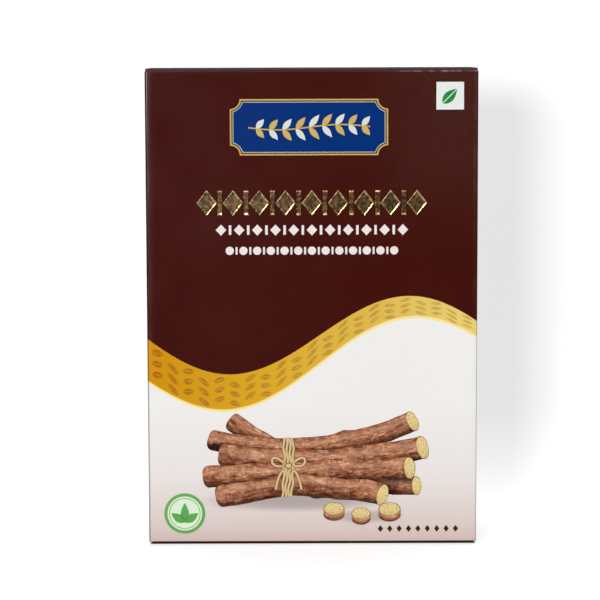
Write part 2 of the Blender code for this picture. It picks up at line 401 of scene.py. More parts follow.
def board(name, sheet, outside=None):
    """A panel or flap: a grid of points on its printed face, and its grey face a board's thickness behind."""
    rows, columns, _ = sheet.shape
    facing = np.cross(np.gradient(sheet, axis=1), np.gradient(sheet, axis=0))
    facing /= np.linalg.norm(facing, axis=2, keepdims=True)
    back = sheet - facing * BOARD
    points = np.concatenate([sheet.reshape(-1, 3), back.reshape(-1, 3)])
    count = rows * columns
    faces, kinds = [], []

    def quad(a, b, c, d, kind):
        faces.append((a, b, c, d))
        kinds.append(kind)

    for r in range(rows - 1):
        for c in range(columns - 1):
            a = r * columns + c
            quad(a, a + 1, a + columns + 1, a + columns, 0)
            quad(count + a, count + a + columns, count + a + columns + 1, count + a + 1, 1)
    last = (rows - 1) * columns
    for c in range(columns - 1):
        quad(count + c, count + c + 1, c + 1, c, 2)
        quad(last + c, last + c + 1, count + last + c + 1, count + last + c, 2)
    for r in range(rows - 1):
        a, b = r * columns, (r + 1) * columns
        quad(a, b, count + b, count + a, 2)
        quad(a + columns - 1, count + a + columns - 1, count + b + columns - 1, b + columns - 1, 2)
    materials = (outside or printed_board, inside_board, cut_board)
    return smooth_off(piece(name, points, faces, materials, kinds))


def panel(name, plan, levels, foot_radius=0.0, outward=(0, 0)):
    """A wall of the sleeve, from its plan and its levels. Its foot may turn inwards to a bottom flap."""
    sheet = np.zeros((len(levels), len(plan), 3))
    for row, z in enumerate(levels):
        under = max(0.0, foot_radius - (z - levels[0]))
        inset = foot_radius - math.sqrt(max(0.0, foot_radius ** 2 - under ** 2))
        for column, (x, y) in enumerate(plan):
            push = swell(x, z) - inset
            sheet[row, column] = (x + outward[0] * -inset, y + outward[1] * push, z)
    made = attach(board(name, sheet), "carton")
    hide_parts("sleeve")
    return made


def levels_between(low, high, foot_steps=5, steps=56):
    foot = np.linspace(low, low + CORNER, foot_steps + 1)[:-1]
    return np.concatenate([foot, np.linspace(low + CORNER, high, steps)])


near = WIDE - CORNER
side = DEEP - CORNER
front_line = np.linspace((-near, -DEEP), (near, -DEEP), 47)[1:-1]
left_corner, right_corner = arc(-near, -side, CORNER, 180, 270), arc(near, -side, CORNER, 270, 360)
front_plan = np.concatenate([left_corner, front_line, right_corner])
panel("front_panel", front_plan, np.linspace(FOOT, FRONT_TOP, 60), outward=(0, -1))

back_line = np.linspace((near, DEEP), (SEAM_GAP - WIDE, DEEP), 47)[1:]
back_plan = np.concatenate([arc(near, side, CORNER, 0, 90), back_line])
panel("back_panel", back_plan, levels_between(sleeve_low[2], TALL - FOLD), CORNER, (0, 1))

dust_level = span("dust_flap_right")[1][2]
side_top = dust_level - FOLD
right_plan = np.linspace((WIDE, -side), (WIDE, side), 15)
panel("right_panel", right_plan, levels_between(sleeve_low[2], side_top), CORNER, (1, 0))

seam_side = DEEP - BOARD - GLUE - SEAM_CORNER
left_line = np.linspace((-WIDE, seam_side), (-WIDE, -side), 15)[1:]
left_plan = np.concatenate([arc(SEAM_CORNER - WIDE, seam_side, SEAM_CORNER, 90, 180), left_line])
panel("left_panel", left_plan, levels_between(sleeve_low[2], side_top), CORNER, (-1, 0))

# The lid and its tuck flap. They are the same sheet as the back panel, printed outside, and turn over two
# creases: the lid at the top of the back, and the tuck flap at the front, where it slides down inside.
TUCK_LEAN = math.radians(14)
TUCK_TURN = math.radians(90) + TUCK_LEAN
TUCK_LENGTH = 16.0
TUCK_ROUND = 8.0
TUCK_SETBACK = 0.8
TIGHT_FOLD = 0.45
NECK = 0.6


def flap(name, path, halves, crease, node, place=lambda x, y, z: (x, y, z),
         columns=45, outside=None):
    """A flap and its crease: path runs along it from the crease, and halves has its two edges all along."""
    shares = np.linspace(0, 1, columns)
    sheet = np.array([[place(left + (right - left) * s, a, b) for s in shares]
                      for (a, b), (left, right) in zip(path, halves)])
    made = board(name, sheet, outside)
    first, last = [Vector(place(0, *point)) * MM for point in crease]
    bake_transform(made)
    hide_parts(node)
    return made


lid_half = lid_high[0]
lid_front = lid_low[1]
lid_arc = arc(DEEP - FOLD, TALL - FOLD, FOLD, 0, 90, 8)
lid_run = np.linspace((DEEP - FOLD, TALL), (lid_front, TALL), 16)[1:]
lid_path = np.concatenate([lid_arc, lid_run])
lid_edges = [lid_half - NECK * max(0.0, 1 - i / 8) for i in range(len(lid_path))]
lid_halves = [(edge, -edge) for edge in lid_edges]
lid_board = flap("lid_board", lid_path, lid_halves, (lid_arc[0], lid_arc[-1]), "lid")

tuck_corner = TUCK_SETBACK - DEEP
fold_in = TIGHT_FOLD * math.tan(TUCK_TURN / 2)
steps = 10
turned_to = 90 + math.degrees(TUCK_TURN)
tuck_arc = arc(tuck_corner + fold_in, TALL - TIGHT_FOLD, TIGHT_FOLD, 90, turned_to, steps)
tuck_half = span("tuck_flap")[1][0]
down = np.array([math.sin(TUCK_LEAN), -math.cos(TUCK_LEAN)])
turn_steps = np.radians(np.linspace(0, 90, 10))
tuck_tip = TUCK_LENGTH - TUCK_ROUND * (1 - np.sin(turn_steps))
runs = np.concatenate([[fold_in + 0.3, fold_in + 0.9, 4.0, 6.0], tuck_tip])
tuck_run = np.array([np.array([tuck_corner, TALL]) + down * run for run in runs])
shoulder = [lid_half - 0.1] * (steps + 3) + [tuck_half] * 3
rounded = [tuck_half - TUCK_ROUND * (1 - math.cos(turn)) for turn in turn_steps]
tuck_halves = [(half, -half) for half in shoulder + rounded]
tuck_path = np.concatenate([[(lid_front, TALL)], tuck_arc, tuck_run])
tuck_crease = (tuck_arc[0], tuck_arc[-1])
tuck_board = flap("tuck_board", tuck_path, tuck_halves, tuck_crease, "tuck_flap")

# The two dust flaps. They are the same sheet as the side panels, bare board but for the print that bleeds
# over the crease, and lie folded in under the lid.
DUST_REACH = 28.0
DUST_ROUND = 4.0
DUST_FRONT = 16.2
DUST_SLANT = 5.7
DUST_BACK = 17.4
DUST_COLUMNS = 17
BLEED = 4.2


def stored(flow, name, out="Fac"):
    """What a mesh stores in an attribute, as a number, a colour or a vector."""
    return flow.node("ShaderNodeAttribute", {"attribute_name": name}, out=out)


def dust_finish():
    """Bare board, with print for a few millimetres past the crease."""
    made, flow, join = start_finish("dust_flap_board", IOR=1.5)
    place = in_mm(flow)
    reach = stored(flow, "reach")
    fibres = grain(stretched(place, 0.35, 1, 1), 2.2, 4, 0.6)
    bare = fibres.mix(tone(222, 218, 210), tone(238, 235, 229))
    printed = (reach + grain(place, 0.6, 2) * 0.3).rise(BLEED + 0.2, BLEED)
    join(printed.mix(bare, tone(66, 20, 13)), "Base Color")
    join(0.8 - printed * 0.55, "Roughness")
    join(bump(fibres, 0.2, 0.05), "Normal")
    return made


dust_board = dust_finish()
dust_arc = arc(-(WIDE - FOLD), side_top, FOLD, 180, 90, 8)
dust_tip = DUST_REACH - DUST_ROUND * (1 - np.sin(np.radians(np.linspace(0, 90, 7))))
dust_reach = np.concatenate([[3.0, 6.0, 10.0, 15.0, 20.0], dust_tip])
dust_run = np.stack([dust_reach - WIDE + 0.8, np.full(len(dust_reach), dust_level)], axis=1)
dust_path = np.concatenate([dust_arc, dust_run])


def dust_edges(reach):
    """How far a dust flap goes to the front and to the back, at a distance from its crease."""
    share = max(0.0, (reach - 3.0) / (DUST_REACH - 3.0))
    corner = max(0.0, reach - (DUST_REACH - DUST_ROUND))
    nip = DUST_ROUND - math.sqrt(max(0.0, DUST_ROUND ** 2 - corner ** 2))
    return -(DUST_FRONT - DUST_SLANT * share) + nip, DUST_BACK - share - nip


reaches = [0.0] * len(dust_arc) + list(dust_reach)
reaches_on_both_faces = np.tile(np.repeat(reaches, DUST_COLUMNS), 2).astype(np.float32)
for hand, body, node in ((-1, "dust_left", "dust_flap_left"), (1, "dust_right", "dust_flap_right")):
    edges = [dust_edges(reach) for reach in reaches]
    halves = [(far, front) if hand < 0 else (front, far) for front, far in edges]
    made = flap(f"{body}_board", dust_path, halves, (dust_arc[0], dust_arc[-1]), node,
                lambda across, a, b: (-hand * a, across, b), DUST_COLUMNS, dust_board)
    distances = made.data.attributes.new("reach", "FLOAT", "POINT")
    distances.data.foreach_set("value", reaches_on_both_faces)

# The base. Its outer flap is the front panel's own, folded back under the carton and glued to the flaps
# inside, which are bare board and show only from above. The glue flap runs down the left rear corner.
base_half, base_back, _ = span("bottom_outer_flap")[1]
base_arc = arc(FOOT - DEEP, FOOT, FOOT, 180, 270, 8)
base_run = np.linspace((FOOT - DEEP, 0), (base_back, 0), 18)[1:]
base_path = np.concatenate([base_arc, base_run])
nips = [0.9 * max(0.0, 1 - i / 6) for i in range(len(base_path) - 1)] + [0.5]
shares = np.linspace(0, 1, 47)
base_sheet = np.array([[((base_half - nip) * (2 * share - 1), y, z) for share in shares]
                       for (y, z), nip in zip(base_path, nips)])
base_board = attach(board("base_flap", base_sheet[::-1]), "carton")
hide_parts("bottom_outer_flap")
for node in ("bottom_inner_flap", "bottom_dust_flap_left", "bottom_dust_flap_right", "glue_flap"):
    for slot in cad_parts[node].material_slots:
        slot.material = inside_board

# The inks. Each printed thing in the sections below is drawn flat, in thin layers, and is then laid on the
# swelling board that it is printed on. Its colours are stored in the mesh, under the same gloss varnish.
LAYER = 0.02
CUT = 8.0


def ink_finish():
    made, flow, join = start_finish("inks", IOR=1.5)
    place = in_mm(flow)
    ink = stored(flow, "ink", "Color")
    mottle = grain(place, 1.6, 3)
    join((mottle.rise(0.35, 0.75) * 0.05).mix(ink, tone(30, 24, 22)), "Base Color")
    join(mottle * 0.05 + 0.11, "Roughness")
    return made


inks = ink_finish()


class Print:
    """Flat shapes printed on one face of the carton, in millimetres across and up, kept as one mesh."""

    def __init__(self, name, facing=-1):
        self.name = name
        self.facing = facing
        self.mesh = bmesh.new()
        self.ink = self.mesh.verts.layers.float_color.new("ink")
        self.grain = self.mesh.verts.layers.float_vector.new("grain")

    def dot(self, x, z, colour, layer, along=(0, 0, 0)):
        vertex = self.mesh.verts.new((x, layer * LAYER, z))
        vertex[self.ink] = colour
        vertex[self.grain] = along
        return vertex

    def shape(self, outline, colour, layer=1):
        area = sum(a[0] * b[1] - b[0] * a[1] for a, b in zip(outline, outline[1:] + outline[:1]))
        points = outline if area > 0 else outline[::-1]
        self.mesh.faces.new([self.dot(x, z, colour, layer) for x, z in points])

    def band(self, outer, inner, colour, layer=1):
        """A closed line between two outlines of as many points, both running anticlockwise."""
        a = [self.dot(x, z, colour, layer) for x, z in outer]
        b = [self.dot(x, z, colour, layer) for x, z in inner]
        for i in range(len(a)):
            j = (i + 1) % len(a)
            self.mesh.faces.new((a[i], a[j], b[j], b[i]))

    def grid(self, points, colours, layer, along=None, kind=0):
        """A strip or patch: rows of points, with a colour for each and the values that its grain follows."""
        rows = [[self.dot(*p, colours[r][c], layer, along[r][c] if along else (0, 0, 0))
                 for c, p in enumerate(row)] for r, row in enumerate(points)]
        for low, high in zip(rows, rows[1:]):
            for i in range(len(low) - 1):
                self.mesh.faces.new((low[i], low[i + 1], high[i + 1], high[i])).material_index = kind

    def lay(self, *finishes):
        """Cuts the shapes into small faces and lays them on the swelling board."""
        bmesh.ops.triangulate(self.mesh, faces=[f for f in self.mesh.faces if len(f.verts) > 4])
        for axis, reach in ((0, WIDE), (2, TALL)):
            for place in np.arange(-reach, reach, CUT):
                point, facing = [0, 0, 0], [0, 0, 0]
                point[axis], facing[axis] = place, 1
                everything = self.mesh.verts[:] + self.mesh.edges[:] + self.mesh.faces[:]
                bmesh.ops.bisect_plane(self.mesh, geom=everything, plane_co=point, plane_no=facing, dist=1e-5)
        for vertex in self.mesh.verts:
            x, lift, z = vertex.co
            depth = DEEP + swell(x, z) + lift
            vertex.co = Vector((x * -self.facing, depth * self.facing, z)) * MM
        mesh = bpy.data.meshes.new(self.name)
        self.mesh.to_mesh(mesh)
        self.mesh.free()
        for finish in finishes or (inks,):
            mesh.materials.append(finish)
        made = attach(keep(self.name, mesh), "carton")
        return made


def ring(x, z, wide, tall, points=40, first=0.0):
    turns = [first + 2 * math.pi * i / points for i in range(points)]
    return [(x + wide * math.cos(t), z + tall * math.sin(t)) for t in turns]


def ticket(x, z, half_wide, half_tall, bite, inset=0.0):
    """A ticket's outline: a rectangle whose corners are bitten out in quarter circles."""
    outline = []
    for side_x, side_z, first in ((-1, -1, 90), (1, -1, 180), (1, 1, 270), (-1, 1, 0)):
        reach = math.degrees(math.asin(inset / (bite + inset)))
        for step in range(9):
            turn = math.radians(first - reach - (90 - 2 * reach) * step / 8)
            outline.append((x + side_x * half_wide + (bite + inset) * math.cos(turn),
                            z + side_z * half_tall + (bite + inset) * math.sin(turn)))
    return outline


def leaf(x, z, length, width, turn, points=8):
    """A pointed leaf from its foot at x, z."""
    sides = []
    for sign in (1, -1):
        run = range(points + 1) if sign > 0 else range(points - 1, 0, -1)
        for i in run:
            s = i / points
            sides.append((length * s, -sign * width / 2 * math.sin(math.pi * s ** 0.85)))
    c, d = math.cos(turn), math.sin(turn)
    return [(x + a * c - b * d, z + a * d + b * c) for a, b in sides]


def way_along(line, i):
    """The way that a line of points runs at its point i."""
    return (line[min(i + 1, len(line) - 1)] - line[max(i - 1, 0)]).normalized()


def strip(points, width, colour, printed, layer, end_width=None):
    """A line along points, of one width or narrowing to another at its end."""
    line = [Vector(p) for p in points]
    widths = np.linspace(width, end_width or width, len(line))
    sides = []
    for i, p in enumerate(line):
        way = way_along(line, i)
        off = Vector((way.y, -way.x)) * float(widths[i]) / 2
        sides.append((tuple(p + off), tuple(p - off)))
    printed.grid(list(zip(*sides)), [[colour] * len(line)] * 2, layer)


# The blue ticket, near the top of the front. It is printed in flat inks: two gold keylines round a blue
# field, and a sprig of pale leaves and gold ones on a waving gold stem.
TICKET_X, TICKET_Z = -0.9, 146.3
STEM_HALF, STEM_WAVE = 21, 0.9


def on_stem(share):
    """A place on the ticket's stem, from -1 at its left end to 1 at its right one."""
    return TICKET_X + STEM_HALF * share, TICKET_Z + STEM_WAVE * math.sin(3 * share)


ticket_print = Print("blue_ticket")
sizes = (TICKET_X, TICKET_Z, 27.3, 9.7, 3.4)
ticket_print.shape(ticket(*sizes), tone(16, 30, 66), 1)
ticket_print.band(ticket(*sizes), ticket(*sizes, 0.55), tone(202, 168, 92), 2)
ticket_print.band(ticket(*sizes, 0.95), ticket(*sizes, 1.2), tone(206, 200, 170), 2)
ticket_print.shape(ticket(*sizes, 1.2), tone(0, 46, 116), 3)
strip([on_stem(share) for share in np.linspace(-1, 1, 25)], 0.5, tone(196, 164, 84), ticket_print, 4)
leaf_inks = (tone(206, 176, 100), tone(218, 222, 214))
for number in range(9):
    share = (number - 4) / 4.6
    for sign in (1, -1):
        outline = leaf(*on_stem(share), 5.6 - 1.5 * abs(share), 2.1, sign * math.radians(50))
        ticket_print.shape(outline, leaf_inks[(number + (sign > 0)) % 2], 5)
ticket_print.lay()

# The foil frieze under the ticket: lozenges and bars of gold foil, stamped hard enough to stand a little
# proud of the board, with bevelled edges that catch the light. The bevels take a much brighter copy of the
# foil, a painted highlight, and the flat faces a darker one, painted shade. The same rule makes the rows of
# printed marks: two of white ink under the frieze, and one of brown ink at the foot.
FRIEZE_LEVEL = 120.0


def start_rule(name, **inputs):
    """A Geometry Nodes tree, a function that adds nodes to it, and its inputs. None stands for a material."""
    tree = bpy.data.node_groups.new(name, "GeometryNodeTree")
    kinds = {int: "Int", float: "Float", type(None): "Material"}
    for label, value in inputs.items():
        kind = f"NodeSocket{kinds[type(value)]}"
        socket = tree.interface.new_socket(label, in_out="INPUT", socket_type=kind)
        if value is not None:
            socket.default_value = value
    tree.interface.new_socket("Geometry", in_out="OUTPUT", socket_type="NodeSocketGeometry")
    given = tree.nodes.new("NodeGroupInput")

    def add(kind, settings=None, **sockets):
        named = {label.replace("_", " "): value for label, value in sockets.items()}
        return Flow(tree).node(f"GeometryNode{kind}", settings, named)

    return tree, add, {socket.name: Flow(tree, socket) for socket in given.outputs if socket.name}


def combined(x, y, z):
    """Three values as one vector. One of them at least is a Flow."""
    flow = next(value for value in (x, y, z) if isinstance(value, Flow))
    return flow.node("ShaderNodeCombineXYZ", None, {0: x, 1: y, 2: z})


def swelling(x, z):
    """How far the board swells out at each place across and up, in a tree."""
    return x.maths("COSINE", x * (math.pi / (2 * WIDE))) ** 2 * x.maths("SINE", z * (math.pi / TALL)) * BULGE


def marks_tree():
    """A row of equal marks on the front panel, each a polygon of any number of sides with a bevelled rim."""
    tree, add, use = start_rule(
        "row_of_marks", Count=9, Pitch=9.0, Middle=0.0, Level=100.0, Width=4.0, Height=4.0, Sides=4, Turn=0.0,
        Radius=0.5, Relief=0.05, Top=0.99, Dish=0.0, Floor=0.9, Finish=None, Edge=None)
    first = (use["Count"] - 1) * use["Pitch"] * -0.5 + use["Middle"]
    line = add("MeshLine", Count=use["Count"], Start_Location=combined(first, 0.0, use["Level"]),
               Offset=combined(use["Pitch"], 0.0, 0.0))
    mark = add("MeshCircle", {"fill_type": "NGON"}, Vertices=use["Sides"], Radius=use["Radius"])
    mark = add("Transform", Geometry=mark, Rotation=combined(0.0, 0.0, use["Turn"]))
    sized = combined(use["Width"], use["Height"], 1.0)
    mark = add("Transform", Geometry=mark, Scale=sized, Rotation=(math.pi / 2, 0, 0))
    mark = add("SetMaterial", Geometry=mark, Material=use["Finish"])
    chosen = True
    for rise, share in ((use["Relief"], use["Top"]), (use["Dish"], use["Floor"])):
        stamped = add("ExtrudeMesh", Mesh=mark, Offset_Scale=rise, Selection=chosen).socket.node.outputs
        mark = add("SetMaterial", Geometry=Flow(tree, stamped["Mesh"]), Material=use["Edge"],
                   Selection=Flow(tree, stamped["Side"]))
        chosen = Flow(tree, stamped["Top"])
        mark = add("ScaleElements", Geometry=mark, Selection=chosen, Scale=share)
    row = add("RealizeInstances", Geometry=add("InstanceOnPoints", Points=line, Instance=mark))
    x, y, z = add("InputPosition").parts()
    laid = combined(x * MM, (y - swelling(x, z) - DEEP) * MM, z * MM)
    row = add("SetPosition", Geometry=row, Position=laid)
    row.feed(tree.nodes.new("NodeGroupOutput"), 0)
    return tree


def grown(name, tree, **values):
    """The mesh that a tree makes with these inputs, as a plain piece."""
    made = keep(name, bpy.data.meshes.new(name))
    modifier = made.modifiers.new("rule", "NODES")
    modifier.node_group = tree
    for item in tree.interface.items_tree:
        if item.in_out == "INPUT" and item.name in values:
            modifier[item.identifier] = values[item.name]
    graph = bpy.context.evaluated_depsgraph_get()
    mesh = bpy.data.meshes.new_from_object(made.evaluated_get(graph), depsgraph=graph)
    made.modifiers.clear()
    made.data = mesh
    mesh.name = name
    return made


def foil_finish(name, dull, bright, low, high, metal):
    """Stamped gold foil: fine wrinkles, and browner where it is pressed thin. Called twice: a darker copy for
    the flat faces (painted shade) and a much brighter one for the bevelled rims (painted highlight).
    """
    made, flow, join = start_finish(name, Metallic=metal)
    place = in_mm(flow)
    worn = grain(place, 0.9, 4, 0.6)
    join(worn.rise(low, high).mix(tone(*dull), tone(*bright)), "Base Color")
    join(worn * 0.15 + 0.2, "Roughness")
    join(bump(grain(place, 2.4, 3), 0.5, 0.08), "Normal")
    return made


def solid_ink(name, colour):
    made, flow, join = start_finish(name, IOR=1.5)
    mottle = grain(in_mm(flow), 1.3, 3)
    darker = tuple(value * 0.93 for value in colour[:3]) + (1.0,)
    join(mottle.rise(0.3, 0.7).mix(darker, colour), "Base Color")
    join(mottle * 0.05 + 0.11, "Roughness")
    return made


marks = marks_tree()
# Two copies of one gold foil: a darker one on the flat faces, painted shade for the dark room that they
# mirror, and a much brighter one on the bevelled rims, a painted highlight.
foil_face_painted_dark = foil_finish("foil_face_painted_dark", (62, 42, 20), (116, 86, 44), 0.38, 0.66, 0.5)
foil_rim_painted_bright = foil_finish("foil_rim_painted_bright", (150, 116, 56), (255, 236, 170), 0.35, 0.6, 1.0)
white_ink = solid_ink("white_ink", tone(238, 230, 226))
brown_ink = solid_ink("brown_ink", tone(66, 40, 32))
SQUARE = {"Sides": 4, "Turn": math.pi / 4, "Radius": math.sqrt(0.5)}
FOIL = {"Level": FRIEZE_LEVEL, "Relief": 0.16, "Dish": -0.12, "Finish": foil_face_painted_dark, "Edge": foil_rim_painted_bright}
WHITE = {"Finish": white_ink, "Edge": white_ink}
BROWN = {"Finish": brown_ink, "Edge": brown_ink}
rows = (
    ("foil_lozenges", dict(Count=9, Pitch=9.1, Width=7.2, Height=9.2, Top=0.9, Floor=0.86, **FOIL)),
    ("foil_bars", dict(Count=8, Pitch=9.1, Width=1.6, Height=8.8, Top=0.9, Floor=0.84, **FOIL, **SQUARE)),
    ("white_lozenges", dict(Count=11, Pitch=6.3, Level=110.8, Width=3.7, Height=3.9, **WHITE)),
    ("white_bars", dict(Count=10, Pitch=6.3, Level=110.8, Width=0.9, Height=3.3, **WHITE, **SQUARE)),
    ("white_dots", dict(Count=13, Pitch=4.75, Level=103.6, Width=2.9, Height=2.9, Sides=20, **WHITE)),
    ("white_ticks", dict(Count=12, Pitch=4.75, Level=103.6, Width=0.7, Height=2.6, **WHITE, **SQUARE)),
    ("brown_lozenges", dict(Count=9, Pitch=3.3, Middle=37.0, Level=5.4, Width=1.9, Height=2.5, **BROWN)),
)
for name, values in rows:
    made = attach(grown(name, marks, **values), "carton")

# The ribbon's leaves. They are almond-shaped, with a bare rib, and printed a little darker than the ribbon.
# They lie in staggered columns that follow the ribbon and shrink with it, alike on the front and the back.


def leaves_tree():
    """A lattice of leaves on the ribbon: its height is in shares of the ribbon's half until it is laid."""
    tree, add, use = start_rule(
        "leaves_along_ribbon", Columns=21, Pitch=5.4, Rows=3, Spread=1.04, Stagger=0.13, Length=4.0,
        Width=1.5, Rib=0.16, Tilt=0.3, Side=-1.0, Finish=None)
    x, y, _ = add("InputPosition").parts()
    lattice = add("MeshGrid", Size_X=(use["Columns"] - 1) * use["Pitch"], Size_Y=use["Spread"],
                  Vertices_X=use["Columns"], Vertices_Y=use["Rows"])
    turnabout = x.maths("COSINE", x / use["Pitch"] * math.pi)
    staggered = combined(x, y + turnabout * use["Stagger"], 0.0)
    lattice = add("SetPosition", Geometry=lattice, Position=staggered)
    half_leaf = add("MeshCircle", {"fill_type": "NGON"}, Vertices=14, Radius=1.0)
    bulge = y.maths("MAXIMUM", y, 0.0) ** 2
    bulged = combined(x * use["Length"] * 0.5, (bulge * use["Width"] + use["Rib"]) * 0.5, 0.0)
    half_leaf = add("SetPosition", Geometry=half_leaf, Position=bulged)
    pair = tree.nodes.new("GeometryNodeJoinGeometry")
    for turn in (0.0, math.pi):
        add("Transform", Geometry=half_leaf, Rotation=(0, 0, turn)).feed(pair, 0)
    one_leaf = add("Transform", Geometry=Flow(tree, pair.outputs[0]), Scale=(1, 1 / RIBBON_MIDDLE_HALF, 1))
    lean = combined(0.0, 0.0, turnabout * use["Tilt"] / RIBBON_MIDDLE_HALF)
    spread = add("InstanceOnPoints", Points=lattice, Instance=one_leaf, Rotation=lean)
    spread = add("RealizeInstances", Geometry=spread)
    up = ribbon_middle(x) + y * ribbon_half(x)
    laid = combined(x * MM, (swelling(x, up) + DEEP + LAYER) * MM * use["Side"], up * MM)
    spread = add("SetPosition", Geometry=spread, Position=laid)
    spread = add("SetMaterial", Geometry=spread, Material=use["Finish"])
    spread.feed(tree.nodes.new("NodeGroupOutput"), 0)
    return tree


def leaf_ink_finish():
    """The leaves' ink: a little darker than the ribbon that it lies on, all along it."""
    made, flow, join = start_finish("leaf_ink", IOR=1.5, Roughness=0.13)
    place = in_mm(flow)
    share = place.parts()[0] / (2 * WIDE) + 0.5
    dark = share.mix(tone(166, 98, 8), tone(198, 160, 66))
    worn = share.mix(tone(206, 142, 14), tone(230, 204, 112))
    join((grain(place, 0.9, 3).rise(0.35, 0.7) * 0.45).mix(dark, worn), "Base Color")
    return made


leaves = leaves_tree()
leaf_ink = leaf_ink_finish()
front_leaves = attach(grown("ribbon_leaves_front", leaves, Side=-1.0, Finish=leaf_ink), "carton")

# The picture on the pale field: a bundle of root sticks tied with twine, and slices cut from a stick. Each
# stick is given by its levels at its left end, at the twine and at its right end, and lies over those before.
TIE_X = -9.0
STICKS = (
    (-29.0, 44.5, 31.5, 36.5, 20.5, 3.3),
    (-36.5, 38.0, 34.2, 35.0, 43.2, 3.6),
    (-33.0, 31.8, 29.6, 38.5, 34.6, 4.1),
    (-38.5, 24.0, 25.4, 34.0, 27.2, 3.9),
    (-34.0, 16.6, 20.6, 24.5, 17.6, 3.8),
)
SLICES = ((7.5, 12.6, 3.7), (17.0, 10.9, 3.3), (27.0, 12.4, 3.9))
SLICE_TILT = 0.62
BARK_ROWS = 46
BARK_SIDES = 13
BLACK = (0, 0, 0, 1)


def pictured_bark():
    """Printed bark: furrows along the stick, scars across it, and the light and shade of a round stick."""
    made, flow, join = start_finish("pictured_bark", IOR=1.5, Roughness=0.13)
    place = stored(flow, "grain", "Vector")
    across = place.parts()[1]
    hidden = stored(flow, "ink")
    furrows = grain(stretched(place, 0.17, 2.2, 5.0), 1.0, 4, 0.65)
    cracks = grain(stretched(place, 0.5, 5.0, 5.0), 1.0, 3, 0.6)
    scars = grain(stretched(place, 0.5, 0.9, 3.0), 1.0, 3, 0.6)
    colour = (furrows * 0.55 + cracks * 0.45).ramp((0.37, (74, 34, 22)), (0.45, (134, 76, 51)),
                                                   (0.53, (178, 114, 82)), (0.63, (224, 174, 136)))
    colour = (scars.rise(0.61, 0.67) * 0.5).mix(colour, tone(214, 166, 112))
    colour = (scars.rise(0.42, 0.34) * 0.55).mix(colour, tone(92, 38, 22))
    lit = (1 - abs(across - 0.42)).rise(0.45, 1.0) * 0.26
    colour = lit.mix(colour, tone(232, 188, 154))
    colour = (across.rise(0.1, -1.0) * 0.85).mix(colour, tone(48, 20, 12))
    colour = (across.rise(0.75, 1.0) * 0.35).mix(colour, tone(110, 66, 48))
    colour = (hidden * 0.9).mix(colour, tone(34, 14, 9))
    join(colour, "Base Color")
    return made


def spokes(x, y, around, outward, seed=0.0):
    """Where to read grain so that it makes rays from the middle, and the distance from the middle."""
    turn = x.maths("ARCTAN2", y, x)
    out = x.maths("SQRT", x * x + y * y)
    return combined(turn * around + seed, out * outward, 0.0), out


def pictured_cut():
    """Printed cut ends: pale yellow wood with a few rays, and a thin brown rim of bark."""
    made, flow, join = start_finish("pictured_cut", IOR=1.5, Roughness=0.13)
    x, z, seed = stored(flow, "grain", "Vector").parts()
    spoke, out = spokes(x, z, 2.2, 2.4, seed)
    flat = {"noise_dimensions": "2D"}
    rays = flow.node("ShaderNodeTexNoise", flat, {"Vector": spoke, "Scale": 1.6, "Detail": 3})
    colour = rays.ramp((0.3, (200, 166, 104)), (0.5, (226, 202, 140)), (0.75, (240, 222, 168)))
    colour = (z.rise(-0.2, 1.0) * 0.3).mix(colour, tone(176, 136, 84))
    colour = out.rise(0.88, 0.99).mix(colour, tone(122, 78, 48))
    join(colour, "Base Color")
    return made


roots_print = Print("pictured_roots")
centre_lines = []


def shaded_by(x, z, lines):
    """How dark the sticks that lie over this spot make it, from 0 to 1: most just under their lower edges."""
    dark = 0.0
    for line, reach in lines:
        for a, b in line:
            if abs(a - x) < reach + 3 and -reach - 3.2 < z - b < reach:
                gap = math.hypot(a - x, b - z) - reach
                dark = max(dark, 1 - max(0.0, gap) / 3.0)
    return max(0.0, dark) ** 1.3


def pictured_stick(path, radius, layer, seed, over=()):
    """Bark along a path, with lumpy edges and a rounded left end. Returns its right end and its way there."""
    line = [Vector(p) for p in path]
    length = sum((b - a).length for a, b in zip(line, line[1:]))
    columns, grains, darks = [], [], []
    for i, centre in enumerate(line):
        share = (centre.x - line[0].x) / (line[-1].x - line[0].x)
        way = way_along(line, i)
        off = Vector((-way.y, way.x))
        start = min(1.0, share * length / (radius * 0.55))
        round_end = 0.35 + 0.65 * math.sqrt(1 - (1 - start) ** 2)
        halves = []
        for edge in (0, 1):
            lumps = 0.13 * noise.noise((share * 6, seed, edge * 9))
            lumps += 0.06 * noise.noise((share * 21, seed, edge * 9))
            knob_at = 0.2 + 0.13 * ((seed * 3.3 + edge * 2.1) % 5)
            knob = 0.2 * math.exp(-((share - knob_at) / 0.025) ** 2)
            halves.append(radius * round_end * (1 + lumps + knob))
        column, texture, dark = [], [], []
        for v in np.linspace(-1, 1, BARK_SIDES):
            point = centre + off * float(v) * (halves[1] if v > 0 else halves[0])
            column.append(tuple(point))
            texture.append((share * length, float(v), seed))
            level = shaded_by(point.x, point.y, over)
            dark.append((level, level, level, 1.0))
        columns.append(column)
        grains.append(texture)
        darks.append(dark)
    points, shades, textures = [list(zip(*table)) for table in (columns, darks, grains)]
    roots_print.grid(points, shades, layer, textures)
    return line[-1], way, Vector((way.y, -way.x))


def pictured_end(centre, way, off, short, long, layer, seed):
    """A sawn end: rings of points from its ragged rim to its middle."""
    rounds, spots = [], []
    turns = [(math.cos(turn), math.sin(turn)) for turn in np.linspace(0, -2 * math.pi, 33)]
    for share in (1.0, 0.8, 0.5, 0.2, 0.02):
        rim = []
        for c, s in turns:
            ragged = share * (1 + 0.07 * noise.noise((2 * c, 2 * s, seed)))
            rim.append(tuple(centre + way * (short * ragged * c) + off * (long * ragged * s)))
        rounds.append(rim)
        spots.append([(share * c, share * s, seed) for c, s in turns])
    roots_print.grid(rounds, [[BLACK] * 33] * 5, layer, spots, 1)


